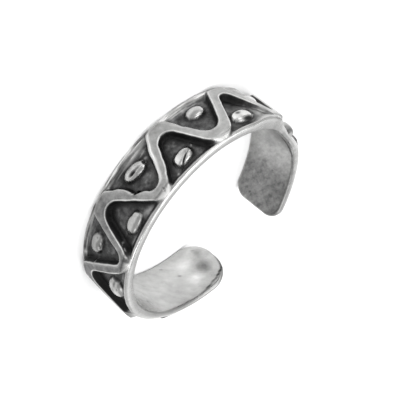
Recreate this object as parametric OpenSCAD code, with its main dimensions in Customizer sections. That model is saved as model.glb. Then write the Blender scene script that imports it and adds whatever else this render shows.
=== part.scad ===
// Open toe ring, cast in one piece in silver and darkened in its recesses. A raised ribbon
// zigzags from rim to rim round the front, and an oval pip stands in each pocket beside it.
// The ring lies on its side. The origin is on the axis of the toe hole, level with the lower
// edge. +Z is that axis, -Y the middle of the patterned front, and the gap is at +Y.
// Angles along the band are measured from the middle of the front, towards +X.

/* [Band] */
// Diameter of the toe hole, inside the patterned front
bore_d = 15.3; // [14:0.1:18]
// Width of the band, along the toe
band_w = 4.3; // [3.8:0.1:5]
// Wall at the dark floor of the pockets
floor_t = 0.55; // [0.45:0.05:0.6]
// Rounding of the long edges
lip_r = 0.2; // [0.1:0.02:0.22]

/* [Raised work] */
// Wall at the top of the ribbon
ribbon_t = 1.1; // [0.95:0.05:1.4]
// Width of the ribbon
ribbon_w = 0.64; // [0.4:0.02:0.8]
// Radius of the ribbon's inner bends, most of which keep to it
bend_r = 0.8; // [0.5:0.05:0.9]
// How far beyond the edges most of the ribbon's bends would turn if they were sharp
turn_over = 0.4; // [0.25:0.05:0.55]
// Wall at the rims
rim_t = 0.75; // [0.7:0.05:0.9]
// Width of each rim
rim_w = 0.3; // [0.24:0.01:0.33]
// How far in from the edges the ribbon begins to rise above the rims
rise_from = 0.36; // [0.36:0.01:0.45]
// How far in from the edges the ribbon is at its full height
rise_to = 0.65; // [0.6:0.05:0.9]
// Angle from a bend to the next one
bend_angle = 19.5; // [18.5:0.1:20.5]

/* [Pips] */
// Length of a pip, along the band
pip_l = 1.5; // [1.1:0.05:1.6]
// Width of a pip
pip_w = 0.85; // [0.7:0.05:0.95]
// Wall at the top of a pip
pip_t = 0.95; // [0.85:0.05:1.1]
// Distance from the middle of a pip to its edge of the band
pip_in = 1.12; // [1:0.02:1.3]

/* [Plain ends] */
// Wall of the left end
left_t = 0.66; // [0.56:0.02:0.68]
// Length of the left end beyond the pattern, along its inside
left_l = 6; // [4:0.1:6.5]
// Bend of the left end, at its inside: opened a little
left_bend_r = 9.8; // [8:0.1:12]
// Corner radius of the left end
left_corner_r = 1.1; // [0.5:0.05:1.8]
// Wall of the right end
right_t = 0.5; // [0.46:0.02:0.7]
// Length of the right end beyond the pattern, along its inside
right_l = 5.1; // [4:0.1:5.5]
// Bend of the right end, at its inside: nearly that of the front
right_bend_r = 7.8; // [7:0.1:10]
// Corner radius of the right end
right_corner_r = 1.85; // [0.5:0.05:1.85]

/* [Hidden] */
$fn = 96;
// Each bend of the ribbon: its place round the band, the edge that it turns at (1 is the upper
// one), the place of the pip in the pocket inside it, how far beyond the edge it would turn as a
// share of turn_over, and its inner radius as a share of bend_r. Places are in bend angles from
// the middle. A bend at an end of the pattern has no pip.
PLACE = 0;
EDGE = 1;
PIP = 2;
TURN = 3;
INNER = 4;
BENDS = [
    [-6.00,  1, undef, 1.0, 1.0],
    [-5.00, -1, -4.97, 1.0, 1.0],
    [-4.00,  1, -3.96, 1.0, 1.0],
    [-2.88, -1, -2.90, 0.4, 0.9],
    [-1.92,  1, -2.04, 1.7, 1.2],
    [-1.02, -1, -0.96, 1.0, 1.0],
    [-0.12,  1, -0.02, 0.7, 1.0],
    [ 1.08, -1,  0.91, 1.2, 1.2],
    [ 1.82,  1,  2.08, 1.2, 0.8],
    [ 3.12, -1,  3.02, 0.8, 1.4],
    [ 4.03,  1,  4.06, 1.0, 1.0],
    [ 5.00, -1,  5.00, 1.0, 1.0],
    [ 6.00,  1, undef, 1.0, 1.0]
];
last = len(BENDS) - 1;
bore_r = bore_d / 2;
mid = band_w / 2;
ribbon_r = bore_r + ribbon_t;
rim_r = bore_r + rim_t;
pocket_h = mid - rim_w;              // height of a pocket's straight side above mid height
over = 0.5;                          // how far cutting shapes run past the metal
touch = 1.003;                       // swells a rounding, so that it crosses its sides cleanly
tip_share = 0.3;                     // rounding of a pip's tips, as a share of its width
tip_r = tip_share * pip_w;
root = 0.02;                         // how far a plain end runs into the front, and how far its
                                     // inside is set back from the toe hole there

// Angle of a bend, also of the ones that would follow beyond the pattern's ends
function bend_deg(i) =
    bend_angle * (i < 0 ? BENDS[0][PLACE] - 1 : i > last ? BENDS[last][PLACE] + 1 : BENDS[i][PLACE]);
// Distance from mid height at which the middle line of bend i would turn if it were sharp
function swing(i) = mid + turn_over * (i < 0 || i > last ? 1 : BENDS[i][TURN]);
// Lean from upright of the limb between bends i and j
function lean(i, j) =
    atan(ribbon_r * sin(abs(bend_deg(j) - bend_deg(i))) / (swing(i) + swing(j)));
// Half of the angle that end bend i covers where it meets its rim
function nose_deg(i, j) =
    asin(((swing(i) - pocket_h) * tan(lean(i, j)) + ribbon_w / 2 / cos(lean(i, j))) / ribbon_r);

front_from = bend_deg(0) - nose_deg(0, 1);
front_to = bend_deg(last) + nose_deg(last, last - 1);

// A piece of the band's sweep: its children are a section in x = radius, y = height
module sweep(from, to) {
    rotate([0, 0, from - 90]) rotate_extrude(angle = to - from) children();
}

// Stands its children on the middle of the band at an angle: x along the band, y up it, and
// z outwards
module on_band(at) {
    rotate([0, 0, at - 90]) translate([0, 0, mid]) rotate([90, 0, 90]) children();
}

// What a rounded corner takes off: the corner is at the origin, the metal is below and left
module corner_waste(r) {
    difference() {
        translate([-r, -r]) square(r + over);
        translate([-r, -r]) circle(r * touch);
    }
}

// Section of a wall with all four edges rounded
module wall_section(inner_r, wall) {
    difference() {
        translate([inner_r, 0]) square([wall, band_w]);
        for (top = [0, 1], out = [0, 1]) {
            translate([inner_r + out * wall, top * band_w])
                rotate(90 * (out ? (top ? 0 : 3) : (top ? 1 : 2))) corner_waste(lip_r);
        }
    }
}

// Section of the front before its pockets are cut
module front_section() {
    wall_section(bore_r, rim_t);
    polygon([
        [bore_r + floor_t / 2, rise_from], [rim_r, rise_from], [ribbon_r, rise_to],
        [ribbon_r, band_w - rise_to], [rim_r, band_w - rise_from],
        [bore_r + floor_t / 2, band_w - rise_from]
    ]);
}

// Outline of the pocket inside bend i, drawn for a bend at the upper edge: a rounded tip
// between the two limbs, opening down to the lower rim
module pocket_outline(i) {
    fore = lean(i, i + 1);
    back = lean(i, i - 1);
    inner_r = bend_r * BENDS[i][INNER];
    from_line = ribbon_w / 2 + inner_r;
    tip = [
        from_line * (sin(fore) - sin(back)) / sin(fore + back),
        swing(i) - from_line * (cos(fore) + cos(back)) / sin(fore + back)
    ];
    fore_top = tip + inner_r * [cos(fore), sin(fore)];
    back_top = tip + inner_r * [-cos(back), sin(back)];
    fore_foot = [fore_top[0] + (fore_top[1] + pocket_h) * tan(fore), -pocket_h];
    back_foot = [back_top[0] - (back_top[1] + pocket_h) * tan(back), -pocket_h];
    polygon([back_top, fore_top, fore_foot, back_foot]);
    translate(tip) circle(inner_r * touch);
}

// What is cut from the front for one pocket
module pocket(i) {
    difference() {
        on_band(bend_deg(i)) linear_extrude(ribbon_r + over)
            mirror([0, BENDS[i][EDGE] > 0 ? 0 : 1]) pocket_outline(i);
        translate([0, 0, -over]) cylinder(r = bore_r + floor_t, h = band_w + 2 * over);
    }
}

// One pip: a grain with round tips, lying along the band
module pip(i) {
    straight = pip_l / 2 - tip_r;
    swell = pip_w / 2 - tip_r;
    // the belly's arc is centred off the axis, so that it runs into both tips
    off = (straight * straight - swell * swell) / (2 * swell);
    belly_r = pip_w / 2 + off;
    meet = belly_r * straight / (belly_r - tip_r);
    on_band(BENDS[i][PIP] * bend_angle)
        translate([0, -BENDS[i][EDGE] * (mid - pip_in), bore_r + pip_t - pip_w / 2])
        rotate([0, 90, 0]) rotate_extrude() {
            intersection() {
                translate([-off, 0]) circle(belly_r);
                translate([0, -meet]) square([pip_w, 2 * meet]);
            }
            for (side = [-1, 1]) intersection() {
                translate([0, side * straight]) circle(tip_r * touch);
                translate([0, -pip_l]) square([pip_w, 2 * pip_l]);
            }
        }
}

// A plain end, drawn for the one towards +X: it bends to its own radius from where the front ends
module plain_end(inner_r, wall, length, corner_r) {
    rooted = root / inner_r * 180 / PI;
    turn = length / inner_r * 180 / PI;
    translate([bore_r - inner_r, 0, 0]) difference() {
        rotate([0, 0, -rooted]) rotate_extrude(angle = turn + rooted)
            wall_section(inner_r + root, wall - root);
        for (top = [0, 1]) rotate([0, 0, turn]) translate([inner_r - over, 0, top * band_w])
            rotate([90, 0, 90]) mirror([0, 1 - top]) linear_extrude(wall + 2 * over)
            corner_waste(corner_r);
    }
}

module toe_ring() {
    color([0.72, 0.71, 0.69]) {
        difference() {
            sweep(front_from, front_to) front_section();
            for (i = [0:last]) pocket(i);
        }
        for (i = [1:last - 1]) pip(i);
        rotate([0, 0, front_to - 90]) plain_end(right_bend_r, right_t, right_l, right_corner_r);
        rotate([0, 0, front_from - 90]) mirror([0, 1, 0])
            plain_end(left_bend_r, left_t, left_l, left_corner_r);
    }
}

toe_ring();
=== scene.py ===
import math

import bmesh
import bpy
import numpy as np
from mathutils import Matrix, Vector


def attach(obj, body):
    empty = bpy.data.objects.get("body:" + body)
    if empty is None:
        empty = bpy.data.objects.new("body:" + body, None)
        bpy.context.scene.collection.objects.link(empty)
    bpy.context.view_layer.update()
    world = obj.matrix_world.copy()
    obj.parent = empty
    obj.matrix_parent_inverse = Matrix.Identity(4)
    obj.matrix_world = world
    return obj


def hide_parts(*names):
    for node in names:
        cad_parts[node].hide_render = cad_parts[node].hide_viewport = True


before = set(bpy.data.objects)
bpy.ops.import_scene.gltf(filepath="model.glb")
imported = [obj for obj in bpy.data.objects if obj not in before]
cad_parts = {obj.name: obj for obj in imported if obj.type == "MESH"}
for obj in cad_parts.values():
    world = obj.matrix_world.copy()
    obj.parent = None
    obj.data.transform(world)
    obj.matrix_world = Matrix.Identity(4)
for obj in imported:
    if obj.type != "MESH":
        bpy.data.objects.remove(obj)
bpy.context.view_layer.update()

# The toe ring: one lost-wax casting in sterling silver. The carved wax left a flat-topped
# ribbon and small oval pips standing on a sunk ground. The whole ring was blackened in a
# sulphur bath, then the raised work, the edges and the plain ends were rubbed bright again.
MM = 0.001
BORE_R = 7.65                       # the toe hole. Lengths are in mm, and turn to metres last
BAND_W = 4.3
HALF_W = BAND_W / 2
FLOOR_T = 0.55                      # wall at the sunk ground
RIM_T = 0.75                        # wall at the edges
RIBBON_T = 1.1                      # wall at the top of the ribbon
RIBBON_R = BORE_R + RIBBON_T
RIBBON_W = 0.65
BEND_R = 0.8                        # most of the inner bends
TURN_OVER = 0.4                     # how far past the edges most of the bends would turn if sharp
CREST_TOP = 2.03                    # how far from mid height a bend's rounded outside reaches
BEND_ANGLE = 19.5                   # from a bend to the next one in an even wave, in degrees
FRONT_END = 122.1                   # where the pattern gives way to the plain ends, in degrees
FRONT_S = BORE_R * math.radians(FRONT_END)

# Each plain end: its side (1 is +X), wall, length along the inside, bend and corner radius
LEFT = dict(side=-1, wall=0.66, length=6.0, bend=9.8, corner=1.1)
RIGHT = dict(side=1, wall=0.5, length=5.1, bend=7.8, corner=1.85)

# Each bend of the ribbon: place in bend angles from the middle, edge (1 is the upper one), turn
# as a share of TURN_OVER, and inner radius as a share of BEND_R
BENDS = [
    (-6.00, 1, 1.0, 1.0), (-4.86, -1, 1.0, 1.0), (-4.02, 1, 1.0, 1.0), (-2.88, -1, 0.4, 0.9),
    (-1.92, 1, 1.7, 1.2), (-1.02, -1, 1.0, 1.0), (-0.12, 1, 0.7, 1.0), (1.08, -1, 1.2, 1.2),
    (1.82, 1, 1.2, 0.8), (3.12, -1, 0.8, 1.4), (4.03, 1, 1.0, 1.0), (5.00, -1, 1.0, 1.0),
    (6.00, 1, 1.0, 1.0),
]
# Each pip: place in bend angles, height from mid height, half length, half width, lean in
# degrees from the run of the band, and squareness
PIPS = [
    (-4.96, 1.48, 0.92, 0.60, 0, 2.2), (-3.88, -0.50, 0.80, 0.50, 0, 2.2),
    (-2.90, 0.97, 0.98, 0.57, 0, 2.2), (-2.03, -0.94, 0.76, 0.48, -4, 2.2),
    (-0.97, 1.03, 0.80, 0.50, 6, 2.5), (-0.02, -0.84, 0.95, 0.50, -8, 2.3),
    (0.90, 1.10, 0.86, 0.50, 4, 2.4), (2.04, -0.96, 0.86, 0.48, 2, 2.4),
    (3.00, 1.08, 1.00, 0.70, 0, 2.1), (4.06, -1.03, 0.80, 0.48, 0, 2.2),
    (5.00, 1.03, 0.80, 0.48, 0, 2.2),
]
PIP_T = 0.95                        # wall at the top of a pip
FAR = 9.0                           # farther off than anything on the band that counts, in mm


def bend_at(k):
    """Where bend k would turn if it were sharp, on the unrolled top of the ribbon, in mm."""
    if k < 0 or k >= len(BENDS):
        inner, beyond = BENDS[0 if k < 0 else -1], -1 if k < 0 else 1
        place, edge, turn = inner[0] + beyond, -inner[1], 1.0
    else:
        place, edge, turn = BENDS[k][:3]
    return RIBBON_R * math.radians(place * BEND_ANGLE), edge * (HALF_W + TURN_OVER * turn)


def lean(k):
    """Lean from upright of the limb that follows bend k."""
    (x0, z0), (x1, z1) = bend_at(k), bend_at(k + 1)
    return math.atan((x1 - x0) / (abs(z0) + abs(z1)))


def smooth(lo, hi, v):
    """0 at lo, 1 at hi, and a soft step between."""
    t = np.clip((v - lo) / (hi - lo), 0, 1)
    return t * t * (3 - 2 * t)


def rough(x, y, cell, seed):
    """Soft unevenness between -1 and 1, with dents about a cell across."""
    table = np.random.default_rng(seed).uniform(-1, 1, (64, 64))
    u, v = x / cell, y / cell
    i, j = np.floor(u).astype(int), np.floor(v).astype(int)
    fu, fv = smooth(0, 1, u - i), smooth(0, 1, v - j)
    low = table[i % 64, j % 64] * (1 - fu) + table[(i + 1) % 64, j % 64] * fu
    high = table[i % 64, (j + 1) % 64] * (1 - fu) + table[(i + 1) % 64, (j + 1) % 64] * fu
    return low * (1 - fv) + high * fv


def off_ribbon(x, z):
    """Distance out from the ribbon's edge: above 0 on the sunk ground, below 0 on the ribbon."""
    out = np.full(x.shape, -FAR)
    one_bend = 5.2                      # half the stretch that one bend and its limbs cover
    for k, (place, edge, turn, inner) in enumerate(BENDS):
        x0, z0 = bend_at(k)
        fore, back = lean(k), lean(k - 1)
        close = np.abs(x - x0) < one_bend
        half_turn = (fore + back) / 2
        sharp = abs(z0) + RIBBON_W / 2 / math.sin(half_turn)
        crest_r = (sharp - CREST_TOP) / (1 / math.sin(half_turn) - 1)
        for radius, from_line, sign in ((BEND_R * inner, RIBBON_W / 2 + BEND_R * inner, 1),
                                        (crest_r, crest_r - RIBBON_W / 2, -1)):
            cx = from_line * (math.sin(fore) - math.sin(back)) / math.sin(fore + back)
            cy = abs(z0) - from_line * (math.cos(fore) + math.cos(back)) / math.sin(fore + back)
            dx, dy = x - x0 - cx, z * edge - cy
            in_tip = (dy > 0) & (dx * math.sin(fore) < dy * math.cos(fore))
            in_tip &= -dx * math.sin(back) < dy * math.cos(back)
            rounding = sign * (radius - np.hypot(dx, dy))
            if sign > 0:
                limbs = np.minimum(radius - dx * math.cos(fore) - dy * math.sin(fore),
                                   radius + dx * math.cos(back) - dy * math.sin(back))
                rounding = np.where(in_tip, rounding, limbs)
                out = np.where(close, np.maximum(out, rounding), out)
            else:
                out = np.where(close & in_tip, np.maximum(out, rounding), out)
    return out


def from_outline(s, z):
    """Distance in from the outline of the flattened band."""
    inset = HALF_W - np.abs(z)
    d = inset
    for end in (LEFT, RIGHT):
        short = FRONT_S + end["length"] - end["side"] * s
        c = end["corner"]
        ex, ey = np.maximum(c - short, 0), np.maximum(c - inset, 0)
        in_corner = (ex > 0) & (ey > 0)
        d = np.minimum(d, np.where(in_corner, c - np.hypot(ex, ey), np.minimum(short, inset)))
    return np.maximum(d, 0)


def rounded_off(d, r):
    """How far an edge rounded to radius r has fallen away at distance d from it."""
    q = np.clip(r - d, 0, r)
    return r - np.sqrt(np.maximum(r * r - q * q, 0))


# What the casting, the tools and wear left on the outside: place along the band's inside,
# height from mid height, half length, half width, lean in degrees, depth (below 0 it stands up),
# and darkness from 0 to 1. Lengths are in mm. A later mark lies over an earlier one.
MARKS = [
    (0.80, 0.25, 0.12, 0.10, 0, 0.26, 1.0),         # a hole beside the ribbon, in a worn notch
    (-0.36, 1.73, 0.09, 0.05, 40, 0.10, 0.75),      # a pit at a bend
    (6.55, -0.70, 0.10, 0.06, 0, 0.05, 0.3),
    (-1.46, 1.80, 0.26, 0.09, 60, -0.04, 0.10),     # bright grains on the ground
    (-1.20, 1.86, 0.12, 0.06, 60, -0.04, 0.20),
    (-3.43, 0.75, 0.10, 0.03, 60, -0.05, 0.15),
    (0.10, -0.76, 0.26, 0.09, -6, 0.12, 0.85),      # a dent in a pip
    (-0.34, -0.72, 0.20, 0.05, -6, 0.04, 0.45),
    (-0.86, -0.74, 0.10, 0.14, -40, 0.16, 0.5),     # its notched end
    (-2.50, 1.27, 0.60, 0.045, 28, 0.16, 0.9),      # a groove across a pip
    (-2.25, 1.36, 0.30, 0.03, 28, 0.08, 0.6),
    (-2.78, 1.00, 0.24, 0.12, 10, 0.04, 0.30),
    (7.78, 1.02, 0.20, 0.16, 0, 0.03, 0.35),        # worn hollows
    (7.55, 1.40, 0.05, 0.05, 0, 0.05, 0.6),
    (7.25, 1.10, 0.24, 0.10, 0, 0.02, 0.45),
    (4.80, -0.90, 0.06, 0.06, 0, 0.06, 0.6),        # casting pits
    (5.36, -0.60, 0.16, 0.05, 10, 0.12, 0.85),
    (5.25, -0.72, 0.28, 0.12, 5, 0.03, 0.42),
    (2.32, 0.92, 0.05, 0.05, 0, 0.08, 0.6),
    (2.22, 1.10, 0.05, 0.05, 0, 0.08, 0.6),
    (2.20, 1.00, 0.30, 0.14, 0, 0.02, 0.35),
    (2.95, 1.00, 0.05, 0.05, 0, 0.08, 0.8),
    (2.92, 1.20, 0.05, 0.05, 0, 0.08, 0.8),
    (1.98, 0.72, 0.12, 0.10, 0, 0.10, 0.55),
    (-5.09, -0.80, 0.40, 0.17, -4, 0.04, 0.30),
    (-7.25, 0.80, 0.16, 0.14, 0, 0.04, 0.50),
    (-7.70, 1.42, 0.40, 0.10, 0, 0.05, 0.85),
    (-0.80, -1.62, 0.75, 0.24, 0, 0, 0.32),         # ground scraped paler
    (-0.95, -1.80, 0.80, 0.05, -6, -0.02, 0.10),    # tool streaks up to the lower edge
    (-0.80, -1.58, 0.60, 0.08, 3, -0.02, 0.06),
    (-0.30, -1.92, 0.80, 0.05, 0, 0, 0.12),
    (-1.15, -1.30, 0.30, 0.05, 12, -0.02, 0.30),
    (-1.05, -0.90, 0.14, 0.12, 0, -0.02, 0.30),
    (-0.04, 0.18, 0.14, 0.05, 20, -0.02, 0.42),
    (-0.42, 0.19, 0.14, 0.05, 20, -0.02, 0.42),
    (-4.10, -1.92, 0.60, 0.05, 3, -0.02, 0.12),
    (-4.30, -1.76, 0.60, 0.05, 3, -0.02, 0.18),
    (-5.70, -1.98, 0.80, 0.08, -6, 0, 0.12),
    (-5.40, -1.74, 0.50, 0.05, -3, -0.02, 0.30),
    (4.80, -2.02, 0.90, 0.10, 0, 0, 0.20),
    (5.00, -1.80, 0.60, 0.05, 0, -0.02, 0.30),
    (6.70, -1.87, 0.20, 0.15, 0, 0, 0.12),
    (-9.10, 1.25, 0.50, 0.55, 0, -0.03, 0.28),      # paler ground
    (-12.60, 1.66, 0.95, 0.50, 0, 0, 0.36),         # a duller pip beside the left end
    (-12.60, 1.98, 0.80, 0.07, 0, 0.06, 0.75),      # and the groove at its foot
    (5.30, -0.96, 0.74, 0.42, 2, 0, 0.26),          # pips that kept more patina
    (2.34, 1.12, 0.74, 0.42, 4, 0, 0.20),
    (1.20, 1.52, 0.60, 0.23, -12, 0, 0.36),         # paler and darker ground by the upper edge
    (2.60, 1.74, 0.60, 0.12, 0, 0, 0.66),
    (3.40, 1.70, 0.32, 0.15, 0, 0, 0.36),
    (8.75, 1.25, 0.40, 0.40, 0, 0, 0.44),
    (4.58, 1.88, 0.40, 0.17, 72, 0, 0.52),          # where a bend runs into the edge
    (6.40, 1.62, 0.60, 0.11, 0, 0, 0.42),
    (-0.28, 1.86, 0.60, 0.22, 0, 0, 0.22),          # another bend, duller
    (3.79, 1.10, 0.20, 0.02, 60, -0.03, 0.30),      # thin ridges
    (3.99, 1.52, 0.20, 0.02, 60, -0.03, 0.30),
]

# Where the hand-carved ribbon's outline departs from an even wave: place, height, half length,
# half width and lean as for a mark, and how far the outline draws in, in mm
CARVING = [
    (0.72, 0.19, 0.38, 0.34, -58, 0.23),            # a notch broken out of it
    (1.36, -0.77, 0.42, 0.30, -58, -0.12),
    (-1.40, -0.75, 0.60, 0.40, 57, -0.08),
    (-0.10, 1.15, 0.50, 0.30, 0, 0.10),
    (-1.00, 1.50, 0.40, 0.50, 0, 0.10),
    (-3.75, -0.45, 0.25, 0.25, 0, 0.06),
]


def spot(where, s, z):
    """1 at a mark's middle, falling to 0 round it."""
    at, height, half_l, half_w, tilt = where
    ct, st = math.cos(math.radians(tilt)), math.sin(math.radians(tilt))
    u, v = s - at, z - height
    away = ((u * ct + v * st) / half_l) ** 2 + ((v * ct - u * st) / half_w) ** 2
    return np.exp(-away ** 1.3)         # flatter in the middle than a bell


# How the ground, the ribbon and the pips stand up, in mm. A pair is a stretch over which
# something sets in: along the band, up from mid height, or in from an edge.
TO_END_WALL = (0.62, 1.0)           # share of the way to an end over which the rim takes its wall
PLAIN_FROM = (-0.05, 0.15)          # where the plain ends begin, beyond the pattern
GROUND_GRAIN = 0.016                # unevenness of the ground
LOWER_RISE = (0.85, 0.18)           # where the ground rises to the edges
UPPER_RISE_FROM, UPPER_RISE_TO = 0.50, 0.16
STREAK_DEPTH, STREAK_IN = 0.03, (0.12, 0.25)
SLOPE_IN = (0.05, 0.50)             # where the ribbon slopes down to the edges at its bends
TOP_GRAIN = 0.012                   # unevenness of its top
SHOULDER = 0.09                     # how far in the ribbon's rounded shoulder reaches
SOFTER_BELOW = 0.12                 # and how much further on its sides that face down
WALL_RUN = 0.10                     # how far out its wall reaches
SQUARE = 2.4                        # power of a section's rounding: a circle's is 2
PIP_SUNK = 0.02                     # how far a pip reaches into the ground

# The left side was filed and handled more. The ground stands higher there and rises earlier,
# and beyond that the rim is thinner and the ribbon runs out lower.
RAISED, RAISED_FROM, RAISED_UNTIL, RAISED_ABOVE = 0.30, (-7.5, -9.2), (-11.3, -10.4), (-0.8, 0.5)
WIDER_RISE, WIDER_UNTIL = 0.40, (-11.3, -10.2)
THIN_RIM, THIN_RIM_AT, THIN_RIM_RUN = 0.25, -12.9, 1.9
LOW_LIMB, LOW_LIMB_FROM = 0.20, (-12.2, -13.6)

# Patina, from 0 for bright silver to 1 for black. On the ribbon's flat top it also holds painted
# shade.
GROUND_DARK, TOP_DARK, FLAT_DARK, PIP_DARK, PLAIN_DARK = 0.55, 0.06, 0.16, 0.08, 0.12
GRAIN_ADDS = dict(ground=0.14, top=0.05, pip=0.10)
TURNED_ADDS = dict(ground=0.10, top=0.05, flat=0.19, pip=0.10)
TURNED = (-7.0, 8.0)                # darker towards the +X side
CORNER_DARK, CORNER_RUN = 0.42, 0.16            # thick patina beside the ribbon: how much, how far out. Beside its sides that face up it reaches up to twice as far, and that wider dark is painted shade
FOOT_SHARE, FOOT_RUN = 0.8, 0.08    # and a little less so beside the pips
PIP_RIM_DARK, PIP_RIM = 0.30, (-0.05, 0)        # darker at a pip's own rim
WORN_OFF, WORN_FROM = 0.26, (-7.6, -9.2)        # the left side was rubbed paler
KEPT_FROM, KEPT_BELOW = (-10.8, -12.2), (1.3, 0.5)      # but not so far round, below the edge
EDGE_WORN_OFF, EDGE_WORN = 0.45, (0.6, 1.3)     # where only the edge was
RUB_BELOW, RUB_STREAKS, RUB_ABOVE, RUB_GRAIN = 0.64, 0.55, 0.62, 0.20   # rubbed off at the edges
LESS_RUB, LESS_RUB_FROM = 0.45, (1.5, 4.5)      # less so at the lower edge towards +X
RIGHT_ADDS, RIGHT_FROM, RIGHT_BELOW = 0.12, (5.8, 7.2), (0.9, -0.2)     # and darker further on
SCRAPED_OFF, SCRAPED_BELOW = 0.14, (-0.5, -1.5)         # streaks scraped off near the lower edge
FLAT_FROM, FLAT_IN = (-0.06, -0.13), (0.12, 0.48)       # the ribbon's flat top
PAINTED_HIGHLIGHT_AT, PAINTED_HIGHLIGHT_RUN = -0.16, 0.075    # a painted highlight band on it, above the sides that face down
PAINTED_HIGHLIGHT_LEAST, PAINTED_HIGHLIGHT_PEAK_AT, PAINTED_HIGHLIGHT_PEAK_RUN = 0.25, -1.6, 1.1       # how bright that painted highlight is along the band


def ribbon_edge(s, z):
    """Distance out from the carved ribbon's edge, and how far its side there faces down and up."""
    x = s / BORE_R * RIBBON_R
    off = off_ribbon(x, z) + 0.02 * rough(s, z, 0.7, 6) + 0.012 * rough(s, z, 0.25, 7)
    for *where, change in CARVING:
        off = off + change * spot(where, s, z)
    reach = 0.03                        # how far up and down the side's slope is taken
    slope = (off_ribbon(x, z + reach) - off_ribbon(x, z - reach)) / (2 * reach)
    return off, smooth(0.15, -0.35, slope), smooth(0.15, 0.5, slope)


def add_pips(s, z, t):
    """The wall with its pips, and the distance out from the nearest pip."""
    pip_d = np.full(s.shape, FAR)
    for place, height, half_l, half_w, tilt, square in PIPS:
        u = (BORE_R + PIP_T) * (s / BORE_R - math.radians(place * BEND_ANGLE))
        v = z - height
        ct, st = math.cos(math.radians(tilt)), math.sin(math.radians(tilt))
        q = (np.abs((u * ct + v * st) / half_l) ** square
             + np.abs((v * ct - u * st) / half_w) ** square) ** (1 / square)
        dome = (PIP_T - FLOOR_T + PIP_SUNK) * np.maximum(1 - q ** SQUARE, 0) ** 0.5
        t = np.maximum(t, np.where(q < 1, FLOOR_T - PIP_SUNK + dome, 0))
        pip_d = np.minimum(pip_d, (q - 1) * half_w)
    return t, pip_d


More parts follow.
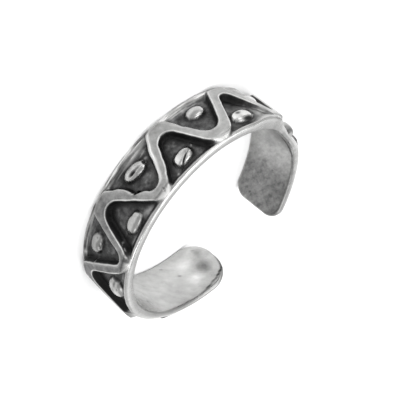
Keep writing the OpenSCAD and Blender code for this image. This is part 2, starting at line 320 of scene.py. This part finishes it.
def outside(s, z):
    """Wall thickness and darkness of the outside at arc length s and height z: its oxide, with
    painted shade on and beside the ribbon and a painted highlight on it.
    """
    inset = HALF_W - np.abs(z)
    grain = rough(s, z, 0.42, 3) * 0.6 + rough(s, z, 0.19, 4) * 0.4
    streak = rough(s, z * 9, 0.7, 11)       # drawn out nine times along the band
    plain = smooth(*PLAIN_FROM, np.abs(s) - FRONT_S)
    wall = np.where(s < 0, LEFT["wall"], RIGHT["wall"])
    rim = RIM_T + (wall - RIM_T) * smooth(*TO_END_WALL, np.abs(s) / FRONT_S)
    rim = rim - THIN_RIM * np.exp(-((s - THIN_RIM_AT) / THIN_RIM_RUN) ** 2)
    kept = smooth(*KEPT_FROM, s)
    worn_left = smooth(*WORN_FROM, s) * (1 - kept * smooth(*KEPT_BELOW, z))

    # the sunk ground, rising to the edges, with tool streaks up to the lower one
    upper_from = UPPER_RISE_FROM + WIDER_RISE * worn_left * smooth(*WIDER_UNTIL, s)
    rise = np.where(z < 0, smooth(*LOWER_RISE, inset), smooth(upper_from, UPPER_RISE_TO, inset))
    ground = FLOOR_T + GROUND_GRAIN * grain + (rim - FLOOR_T) * rise
    raised = smooth(*RAISED_FROM, s) * smooth(*RAISED_UNTIL, s) * smooth(*RAISED_ABOVE, z)
    ground = ground + RAISED * raised
    ground = ground + STREAK_DEPTH * streak * rise * smooth(*STREAK_IN, inset) * (z < 0)

    # the ribbon, sloping down to the edges at its bends
    ribbon_t = RIBBON_T - LOW_LIMB * smooth(*LOW_LIMB_FROM, s)
    top = rim + (ribbon_t - rim) * smooth(*SLOPE_IN, inset)
    top = top - TOP_GRAIN * (1 + rough(s, z, 0.9, 5))
    off, faces_down, faces_up = ribbon_edge(s, z)
    shoulder = SHOULDER + SOFTER_BELOW * faces_down
    fall = np.clip((off + shoulder) / (shoulder + WALL_RUN), 0, 1)
    stand = (1 - fall ** SQUARE) ** (1 / SQUARE)
    t, pip_d = add_pips(s, z, ground + np.maximum(top - ground, 0) * stand)

    # the patina on the ground, thick in the corners and rubbed off towards the edges; beside the
    # ribbon's sides that face up the dark reaches further out as painted shade
    turned = smooth(*TURNED, s)
    # painted shade: the dark beside the ribbon reaches up to twice as far out where its side faces
    # up
    run = CORNER_RUN + CORNER_RUN * faces_up - CORNER_RUN / 2 * worn_left
    corner = np.exp(-(np.maximum(off, 0) / run) ** 1.5)
    foot = np.exp(-np.maximum(pip_d, 0) / FOOT_RUN)
    dark = (GROUND_DARK + TURNED_ADDS["ground"] * turned - WORN_OFF * worn_left
            + GRAIN_ADDS["ground"] * grain + CORNER_DARK * np.maximum(corner, FOOT_SHARE * foot))
    rub_below = (RUB_BELOW + RUB_STREAKS * streak) * (1 - LESS_RUB * smooth(*LESS_RUB_FROM, s))
    rub = np.where(z < 0, rub_below, RUB_ABOVE + RUB_GRAIN * grain)
    dark = dark * (1 - rise * rub) + RIGHT_ADDS * smooth(*RIGHT_FROM, s) * smooth(*RIGHT_BELOW, z)
    dark = dark - SCRAPED_OFF * np.maximum(streak, 0) * smooth(*SCRAPED_BELOW, z)

    # on the ribbon: bright rubbed shoulders, a flat top greyed partly by patina and partly as
    # painted shade, and a painted highlight band on that
    flat = smooth(*FLAT_FROM, off) * smooth(*FLAT_IN, inset)
    # painted highlight: a bright stripe on the ribbon's sides that face down, brightest round s =
    # -1.6 mm
    painted_highlight_peak = np.exp(-((s - PAINTED_HIGHLIGHT_PEAK_AT) / PAINTED_HIGHLIGHT_PEAK_RUN) ** 2)
    band = np.exp(-((off - PAINTED_HIGHLIGHT_AT) / PAINTED_HIGHLIGHT_RUN) ** 2) * faces_down
    band = band * (PAINTED_HIGHLIGHT_LEAST + (1 - PAINTED_HIGHLIGHT_LEAST) * painted_highlight_peak)
    # the flat top's extra grey is partly patina and partly painted shade
    on_flat = FLAT_DARK + TURNED_ADDS["flat"] * turned
    on_top = TOP_DARK + TURNED_ADDS["top"] * turned + on_flat * flat
    on_top = on_top * (1 - band) + GRAIN_ADDS["top"] * grain
    on_ground = smooth(-0.03, 0.04, off) * (1 - plain)
    dark = on_top * (1 - on_ground) + dark * on_ground

    # on the pips and the plain ends
    on_pip = smooth(0.01, -0.03, pip_d)
    pip_dark = (PIP_DARK + TURNED_ADDS["pip"] * turned + GRAIN_ADDS["pip"] * grain
                + PIP_RIM_DARK * smooth(*PIP_RIM, pip_d))
    dark = dark * (1 - on_pip) + pip_dark * on_pip
    t = t * (1 - plain) + wall * plain
    dark = dark * (1 - plain) + PLAIN_DARK * plain
    t, dark = worn(MARKS, s, z, t, dark)
    return t, dark * (1 - EDGE_WORN_OFF * kept * smooth(*EDGE_WORN, z))


def worn(marks, s, z, t, dark):
    """Sinks each mark into the surface, and darkens or brightens it."""
    for *where, depth, darkness in marks:
        mark = spot(where, s, z)
        t = t - depth * mark
        dark = dark + (darkness - dark) * mark
    return t, dark


# The inside: soft brighter and darker patches, a few pin holes, and dark lines along the
# upper edge
INSIDE_MARKS = [
    (19.06, -0.79, 0.80, 0.55, 0, 0, 0.04),
    (18.96, 0.70, 0.70, 0.45, 0, 0, 0.03),
    (20.30, 0.10, 0.60, 0.90, 10, 0, 0.20),
    (20.10, 0.28, 0.42, 0.50, -20, 0, 0.36),
    (20.60, -0.90, 0.30, 0.35, 0, 0, 0.24),
    (18.17, -0.30, 0.06, 0.06, 0, 0.02, 0.6),
    (20.53, -1.24, 0.09, 0.06, 0, 0.02, 0.5),
    (14.83, -0.83, 0.06, 0.06, 0, 0.02, 0.6),
    (13.61, 0.75, 0.06, 0.06, 0, 0.02, 0.5),
    (17.44, -1.57, 0.05, 0.05, 0, 0.02, 0.5),
    (20.60, 1.48, 0.65, 0.06, -21, 0, 0.75),
    (19.30, 1.80, 0.90, 0.06, -11, 0, 0.55),
    (-13.75, 1.46, 0.80, 0.09, -11, 0, 0.9),
    (-15.00, 1.79, 0.85, 0.09, -14, 0, 0.9),
    (-16.80, 2.03, 1.10, 0.06, -4, 0, 0.6),
    (-18.69, 0.39, 0.10, 0.08, 0, 0.01, 0.45),
    (-19.21, 1.65, 0.30, 0.06, 10, 0, 0.5),
    (-21.40, -1.22, 0.10, 0.06, 30, 0.02, 0.6),
    (-21.46, -0.78, 0.06, 0.06, 0, 0.02, 0.6),
    (-17.60, -0.60, 1.60, 0.22, 35, 0, 0.22),
    (-16.20, 0.60, 1.60, 0.20, 35, 0, 0.20),
    (-19.00, -1.00, 1.20, 0.25, 35, 0, 0.36),
]

# A slight flat in the round: how deep in mm, where and how long in degrees
PRESSED_IN, PRESSED_AT, PRESSED_RUN = 0.18, -94, 14


def inner_line(s):
    """Place and outward direction, seen from above, of the band's inside at arc length s."""
    a = s / BORE_R
    out = np.stack([np.sin(a), -np.cos(a)], -1)
    pressed = PRESSED_IN * np.exp(-((np.degrees(a) - PRESSED_AT) / PRESSED_RUN) ** 2)
    place = (BORE_R - pressed)[..., None] * out
    for end in (LEFT, RIGHT):
        side, r = end["side"], end["bend"]
        a0 = side * math.radians(FRONT_END)
        hub = (BORE_R - r) * np.array([math.sin(a0), -math.cos(a0)])
        b = a0 + (s - side * FRONT_S) / r
        turned = np.stack([np.sin(b), -np.cos(b)], -1)
        on_end = (s * side > FRONT_S)[..., None]
        place = np.where(on_end, hub + r * turned, place)
        out = np.where(on_end, turned, out)
    return place, out


# The grid that the surface is laid on. Its rows run along the band, closer together at the
# edges. Its columns lean with the ribbon's limbs and crowd at their shoulders and at the pips.
EDGE_STEPS = np.array([0, 0.004, 0.014, 0.034, 0.064, 0.10, 0.14, 0.18, 0.22])
INNER_EDGE_STEPS = np.array([0, 0.01, 0.04, 0.09, 0.14, 0.20])
LIMB_STEPS = np.array([0, 0.11, 0.19, 0.23, 0.26, 0.29, 0.32, 0.35, 0.38, 0.41, 0.45, 0.52])
LIMB_STEPS = LIMB_STEPS / (RIBBON_W / 2)
TIP_STEPS = np.array([0, 0.01, 0.03, 0.06, 0.10, 0.15, 0.20, 0.28])
ROWS, INNER_ROWS = 98, 40
PIP_COLS = (5, 20, 5)               # columns before, on and after a pip
PIP_REACH, PIP_SHARE = 0.74, 0.36   # half the width of those on it: in mm, or of the room
PIP_MARGIN = 1.2                    # how near they come to the limbs, in half widths
LIMB_SHARE = 0.8                    # most of the room that the columns at two limbs take
END_COLS = 44


def row_heights(n, steps):
    """n + 1 heights from the lower edge to the upper one."""
    mid = np.linspace(-HALF_W + steps[-1], HALF_W - steps[-1], n - 2 * len(steps) + 3)
    return np.concatenate([-HALF_W + steps[:-1], mid, HALF_W - steps[-2::-1]])


def tip_at(end, z):
    """Arc length at which an end's outline lies at height z."""
    c = end["corner"]
    q = np.clip(np.abs(z) - (HALF_W - c), 0, c)
    return end["side"] * (FRONT_S + end["length"] - (c - np.sqrt(np.maximum(c * c - q * q, 0))))


def columns(z):
    """Arc lengths of all the columns at each height."""
    to_s = BORE_R / RIBBON_R
    limbs, halves = [], []
    for k in range(len(BENDS) - 1):
        (x0, z0), (x1, z1) = bend_at(k), bend_at(k + 1)
        limbs.append(((x0 + (x1 - x0) * (z - z0) / (z1 - z0)) * to_s)[:, None])
        halves.append(RIBBON_W / 2 / math.cos(lean(k)) * to_s)
    share = np.linspace(0, 1, END_COLS + 1)[1:-1]
    lo = tip_at(LEFT, z)[:, None] + TIP_STEPS
    hi = limbs[0] - LIMB_STEPS[:0:-1] * halves[0]
    parts = [lo, lo[:, -1:] + (hi[:, :1] - lo[:, -1:]) * share, hi]
    for k in range(1, len(limbs)):
        left, right = limbs[k - 1], limbs[k]
        taken = LIMB_STEPS[-1] * (halves[k - 1] + halves[k])
        shrink = np.minimum(1, LIMB_SHARE * (right - left) / taken)
        a = left + LIMB_STEPS * halves[k - 1] * shrink
        b = right - LIMB_STEPS[:0:-1] * halves[k] * shrink
        lo, hi = a[:, -1:], b[:, :1]
        reach = np.minimum(PIP_REACH, PIP_SHARE * (hi - lo))
        mid = np.clip(BORE_R * math.radians(PIPS[k - 1][0] * BEND_ANGLE),
                      lo + PIP_MARGIN * reach, hi - PIP_MARGIN * reach)
        n0, n1, n2 = PIP_COLS
        parts += [a,
                  lo + (mid - reach - lo) * (np.arange(1, n0 + 1) / n0),
                  mid - reach + 2 * reach * (np.arange(1, n1 + 1) / n1),
                  mid + reach + (hi - mid - reach) * (np.arange(1, n2) / n2), b]
    lo = limbs[-1] + LIMB_STEPS * halves[-1]
    hi = tip_at(RIGHT, z)[:, None] - TIP_STEPS[::-1]
    parts += [lo, lo[:, -1:] + (hi[:, :1] - lo[:, -1:]) * share, hi]
    return np.concatenate(parts, 1)


OUTER_LIP, INNER_LIP = 0.24, 0.20   # rounding of the edges, outside and inside
LOWER_LIP = 0.14                    # and of the outside's lower edge
# How much patina the lower and the upper edge lost outside, and how near to them
LOST_BELOW, LOST_ABOVE, LOST_NEAR = 0.35, 0.80, (0.20, 0.06)
KEPT_LEFT, KEPT_LEFT_FROM = 0.45, (-7, -9)      # the left side's upper edge lost less
# Patina of the inside, and darker in two steps towards the left end. Before that end it is a
# little darker beside the upper edge, and on that end the edges are brighter.
INSIDE_DARK, CLOUD_ADDS = 0.12, 0.03
DULLER = ((0.11, (-11, -14)), (0.15, (-16.8, -19.6)))
BESIDE_ADDS, BESIDE, UPPER_HALF, BESIDE_UNTIL = 0.07, (0.26, 0.12), (0, 1), (-15, -13)
EDGES_LOST, EDGES, EDGES_FROM = 0.5, (0.22, 0.10), (-12, -14)
HOLES_IN = (0, 0.4)                 # pin holes shrink towards the edges
RUB_LESS, RUB_LESS_FROM = 0.6, (-11, 0)         # the right end shows fewer rub marks


def outside_face(s, z, d):
    """Height over the toe hole and darkness of the outside (oxide with painted shade and
    highlight), at distance d from the outline.
    """
    t, dark = outside(s, z)
    lost = np.where(z < 0, LOST_BELOW, LOST_ABOVE - KEPT_LEFT * smooth(*KEPT_LEFT_FROM, s))
    dark = dark * (1 - lost * smooth(*LOST_NEAR, d))
    return t - np.where(z < 0, rounded_off(d, LOWER_LIP), rounded_off(d, OUTER_LIP)), dark


def inside_face(s, z, d):
    """Height and darkness of the inside, at distance d from the outline."""
    cloud = rough(s + z, z - s, 0.9, 21) * 0.6 + rough(s, z, 0.35, 22) * 0.4
    dark = INSIDE_DARK + 0 * s
    for adds, stretch in DULLER:
        dark = dark + adds * smooth(*stretch, s)
    dark = dark + CLOUD_ADDS * cloud
    beside = smooth(*BESIDE, d) * smooth(*UPPER_HALF, z) * smooth(*BESIDE_UNTIL, s)
    level, dark = worn(INSIDE_MARKS, s, z, 0 * s, dark + BESIDE_ADDS * beside)
    dark = dark * (1 - EDGES_LOST * smooth(*EDGES, d) * smooth(*EDGES_FROM, s))
    return rounded_off(d, INNER_LIP) - np.minimum(level, 0) * smooth(*HOLES_IN, d), dark


def sheet_points(z, inside):
    """Places, darkness (oxide with painted shade and highlight), rub marks and flat coordinates of
    the outside or the inside, columns by rows.
    """
    s = columns(z)
    zz = np.repeat(z[:, None], s.shape[1], 1)
    place, out = inner_line(s)
    face = inside_face if inside else outside_face
    h, dark = face(s, zz, from_outline(s, zz))
    p = np.concatenate([place + h[..., None] * out, (zz + HALF_W)[..., None]], -1) * MM
    # red holds the patina, with the painted shade and painted highlight on and beside the ribbon,
    # and green how strongly the inside shows its rub marks
    rub_marks = float(inside) * (1 - RUB_LESS * smooth(*RUB_LESS_FROM, s))
    finish_and_painted_light = np.stack([dark, rub_marks, 0 * s, np.ones(s.shape)], -1)
    flat = np.stack([s, zz], -1)
    return p.swapaxes(0, 1), finish_and_painted_light.swapaxes(0, 1), flat.swapaxes(0, 1)


# Both sheets. Every point carries its patina, with the painted shade and highlight in it, and its
# place on the flattened band.
bm = bmesh.new()
finish_and_painted_light_layer = bm.verts.layers.float_color.new("finish_and_painted_light")
flat_layer = bm.loops.layers.uv.new("flat")
sheets = []
for inside, rows, steps in ((False, ROWS, EDGE_STEPS), (True, INNER_ROWS, INNER_EDGE_STEPS)):
    points, finish_and_painted_light, flat = sheet_points(row_heights(rows, steps), inside)
    cols = points.shape[0] - 1
    verts = bmesh.ops.create_grid(bm, x_segments=cols, y_segments=rows, size=1.0)["verts"]
    at = {v: (round((v.co.x + 1) / 2 * cols), round((v.co.y + 1) / 2 * rows)) for v in verts}
    for v, ij in at.items():
        v.co = points[ij]
    sheets.append((at, cols, rows, finish_and_painted_light, flat))


def open_edges(at, axis, line):
    """The open edges of a sheet along its column (axis 0) or row (axis 1) of that number."""
    on_line = {v for v, ij in at.items() if ij[axis] == line}
    return list({e for v in on_line for e in v.link_edges
                 if e.is_boundary and e.other_vert(v) in on_line})


# the rounded edges of the two sheets meet, and are closed all round
(outer_at, cols, outer_rows, _, _), (inner_at, _, inner_rows, _, _) = sheets
for axis, outer_no, inner_no in (
        (1, 0, 0), (1, outer_rows, inner_rows), (0, 0, 0), (0, cols, cols)):
    rims = open_edges(outer_at, axis, outer_no) + open_edges(inner_at, axis, inner_no)
    bmesh.ops.bridge_loops(bm, edges=rims)
bmesh.ops.recalc_face_normals(bm, faces=bm.faces)
for at, _, _, finish_and_painted_light, flat in sheets:
    for v, ij in at.items():
        v[finish_and_painted_light_layer] = finish_and_painted_light[ij]
        for loop in v.link_loops:
            loop[flat_layer].uv = flat[ij]
for f in bm.faces:
    f.smooth = True
ring_mesh = bpy.data.meshes.new("toe_ring_silver")
bm.to_mesh(ring_mesh)
bm.free()
ring = bpy.data.objects.new("toe_ring_silver", ring_mesh)
bpy.context.scene.collection.objects.link(ring)


def linear(hex_code):
    """A colour given as sRGB hex, as the renderer's linear values."""
    out = []
    for k in (0, 2, 4):
        c = int(hex_code[k:k + 2], 16) / 255
        out.append(c / 12.92 if c <= 0.04045 else ((c + 0.055) / 1.055) ** 2.4)
    return (*out, 1.0)


def add_node(tree, kind, links=None, inputs=None, **settings):
    """Adds a node, gives it its settings and input values, and links its other inputs."""
    node = tree.nodes.new(kind)
    for key, value in settings.items():
        setattr(node, key, value)
    for key, value in (inputs or {}).items():
        node.inputs[key].default_value = value
    for key, source in (links or {}).items():
        tree.links.new(source, node.inputs[key])
    return node


# Oxidised sterling silver, cast, blackened and rubbed: bright and fairly smooth where it was
# rubbed, down to a dull charcoal that is blotched where the sulphur took unevenly.
silver = bpy.data.materials.new("oxidised_sterling_silver")
silver.use_nodes = True
tree = silver.node_tree
tree.nodes.clear()
finish_and_painted_light = add_node(tree, "ShaderNodeVertexColor", layer_name="finish_and_painted_light")
split = add_node(tree, "ShaderNodeSeparateColor", {"Color": finish_and_painted_light.outputs["Color"]})
# red is the patina, with the painted shade and painted highlight of the outside in it
patina_and_painted_light, rub_marks = split.outputs["Red"], split.outputs["Green"]
where = add_node(tree, "ShaderNodeTexCoord").outputs["Object"]
flat_map = add_node(tree, "ShaderNodeUVMap", uv_map="flat").outputs["UV"]
# blotches of patina about 0.4 mm across, with grain down to 0.02 mm
blotch = add_node(tree, "ShaderNodeTexNoise", {"Vector": where},
                  {"Scale": 2400.0, "Detail": 5.0, "Roughness": 0.75})
uneven = add_node(tree, "ShaderNodeMath", {0: blotch.outputs["Fac"]}, {1: 0.5},
                  operation="SUBTRACT")
amount = add_node(tree, "ShaderNodeMapRange", {"Value": patina_and_painted_light},
                  {"From Min": 0.1, "From Max": 0.7, "To Min": 0.10, "To Max": 0.75})
spread = add_node(tree, "ShaderNodeMath",
                  {0: uneven.outputs[0], 1: amount.outputs["Result"], 2: patina_and_painted_light},
                  operation="MULTIPLY_ADD")
# soft slanting rub marks on the inside, about 0.4 mm wide and 1.3 mm long, and finer ones
slant = add_node(tree, "ShaderNodeMapping", {"Vector": flat_map},
                 {"Rotation": (0, 0, math.radians(35)), "Scale": (2.0, 0.7, 1.0)},
                 vector_type="TEXTURE")
rubbed = add_node(tree, "ShaderNodeTexNoise", {"Vector": slant.outputs["Vector"]},
                  {"Scale": 1.6, "Detail": 6.0, "Roughness": 0.65})
rub = add_node(tree, "ShaderNodeMapRange", {"Value": rubbed.outputs["Fac"]},
               {"From Min": 0.3, "From Max": 0.7, "To Min": -0.06, "To Max": 0.06})
spread = add_node(tree, "ShaderNodeMath",
                  {0: rub.outputs["Result"], 1: rub_marks, 2: spread.outputs[0]},
                  operation="MULTIPLY_ADD")
tone = add_node(tree, "ShaderNodeValToRGB", {"Fac": spread.outputs[0]})
ramp = tone.color_ramp
ramp.elements[0].position, ramp.elements[0].color = 0.0, linear("dededd")
ramp.elements[1].position, ramp.elements[1].color = 1.0, linear("0a0a0a")
for position, code in ((0.06, "c6c6c5"), (0.14, "adadac"), (0.25, "929291"),
                       (0.45, "5e5e5e"), (0.65, "343434"), (0.8, "1d1d1d")):
    element = ramp.elements.new(position)
    element.color = linear(code)
dull = add_node(tree, "ShaderNodeMapRange", {"Value": spread.outputs[0]},
                {"To Min": 0.22, "To Max": 0.55})
# a thick sulphide crust is no metal, so the shine fades with it
metal = add_node(tree, "ShaderNodeMapRange", {"Value": spread.outputs[0]},
                 {"From Min": 0.4, "To Min": 1.0, "To Max": 0.6})
# casting grain about 0.1 mm across
grain = add_node(tree, "ShaderNodeTexNoise", {"Vector": where},
                 {"Scale": 9000.0, "Detail": 3.0, "Roughness": 0.6})
bump = add_node(tree, "ShaderNodeBump", {"Height": grain.outputs["Fac"]},
                {"Strength": 0.15, "Distance": 0.03 * MM})
shader = add_node(tree, "ShaderNodeBsdfPrincipled", {
    "Base Color": tone.outputs["Color"], "Roughness": dull.outputs["Result"],
    "Metallic": metal.outputs["Result"], "Normal": bump.outputs["Normal"]})
add_node(tree, "ShaderNodeOutputMaterial", {"Surface": shader.outputs["BSDF"]})
ring.data.materials.append(silver)

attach(ring, "root")
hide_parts("toe_ring")

# The floor: a sheet of matt white card, 3 m wide, that the ring lies on. It is smooth paper
# and gives the eye nothing but a plain pale ground.
bm = bmesh.new()
bmesh.ops.create_grid(bm, x_segments=1, y_segments=1, size=1.5)
floor_mesh = bpy.data.meshes.new("white_card")
bm.to_mesh(floor_mesh)
bm.free()
floor = bpy.data.objects.new("white_card", floor_mesh)
bpy.context.scene.collection.objects.link(floor)
card = bpy.data.materials.new("matt_white_card")
card.use_nodes = True
card_shader = card.node_tree.nodes["Principled BSDF"]
card_shader.inputs["Base Color"].default_value = linear("f2f2f2")
card_shader.inputs["Roughness"].default_value = 0.9
floor.data.materials.append(card)

# The light: a plain pale room, a large soft window overhead, weaker ones at both sides, one
# behind that only shows in the silver, and a front fill that doesn't show in it. They light the
# card to white and leave the silver its contrast.
world = bpy.data.worlds.new("grey_room")
bpy.context.scene.world = world
world.use_nodes = True
world.node_tree.nodes["Background"].inputs["Color"].default_value = (1, 1, 1, 1)
world.node_tree.nodes["Background"].inputs["Strength"].default_value = 0.76
# place in m, side in m, power in W, whether the silver mirrors it, whether it lights the card
for name, place, size, power, in_shine, on_card in (
    ("window", (-0.05, 0.01, 0.26), 0.26, 0.42, True, True),
    ("side_window", (-0.24, -0.12, 0.12), 0.16, 0.14, True, True),
    ("other_window", (0.20, -0.02, 0.21), 0.10, 0.07, True, True),
    ("back_window", (0.02, 0.224, 0.109), 0.30, 0.10, True, False),
    ("front_fill", (0.04, -0.26, 0.26), 0.30, 0.95, False, True),
):
    data = bpy.data.lights.new(name, "AREA")
    data.shape = "SQUARE"
    data.size = size
    data.energy = power
    lamp = bpy.data.objects.new(name, data)
    bpy.context.scene.collection.objects.link(lamp)
    lamp.location = place
    lamp.visible_glossy = in_shine
    lamp.visible_diffuse = on_card
    beam = Vector((0, 0, 0.002)) - Vector(place)
    lamp.rotation_euler = beam.to_track_quat("-Z", "Y").to_euler()
bpy.context.scene.view_settings.view_transform = "Standard"

# The camera: before the patterned front and about 26 degrees above it, and turned well over on
# its side, so that the ring's lower gap points to the right.
AIM = Vector((-0.527, 0.038, 2.137)) * MM
DISTANCE = 85 * MM
AZIMUTH, ELEVATION, ROLL = (math.radians(v) for v in (-95.20, 25.76, 129.28))
camera_data = bpy.data.cameras.new("camera")
camera_data.sensor_width = 36       # mm, as the lens
camera_data.lens = 110.6
camera_data.clip_start = 0.005
camera_data.clip_end = 20
camera = bpy.data.objects.new("camera", camera_data)
bpy.context.scene.collection.objects.link(camera)
towards = Vector((math.cos(AZIMUTH) * math.cos(ELEVATION),
                  math.sin(AZIMUTH) * math.cos(ELEVATION), math.sin(ELEVATION)))
level_right = Vector((0, 0, 1)).cross(towards).normalized()
right = level_right * math.cos(ROLL) + towards.cross(level_right) * math.sin(ROLL)
turn = Matrix((right, towards.cross(right), towards)).transposed()
camera.matrix_world = Matrix.Translation(AIM + DISTANCE * towards) @ turn.to_4x4()
bpy.context.scene.camera = camera
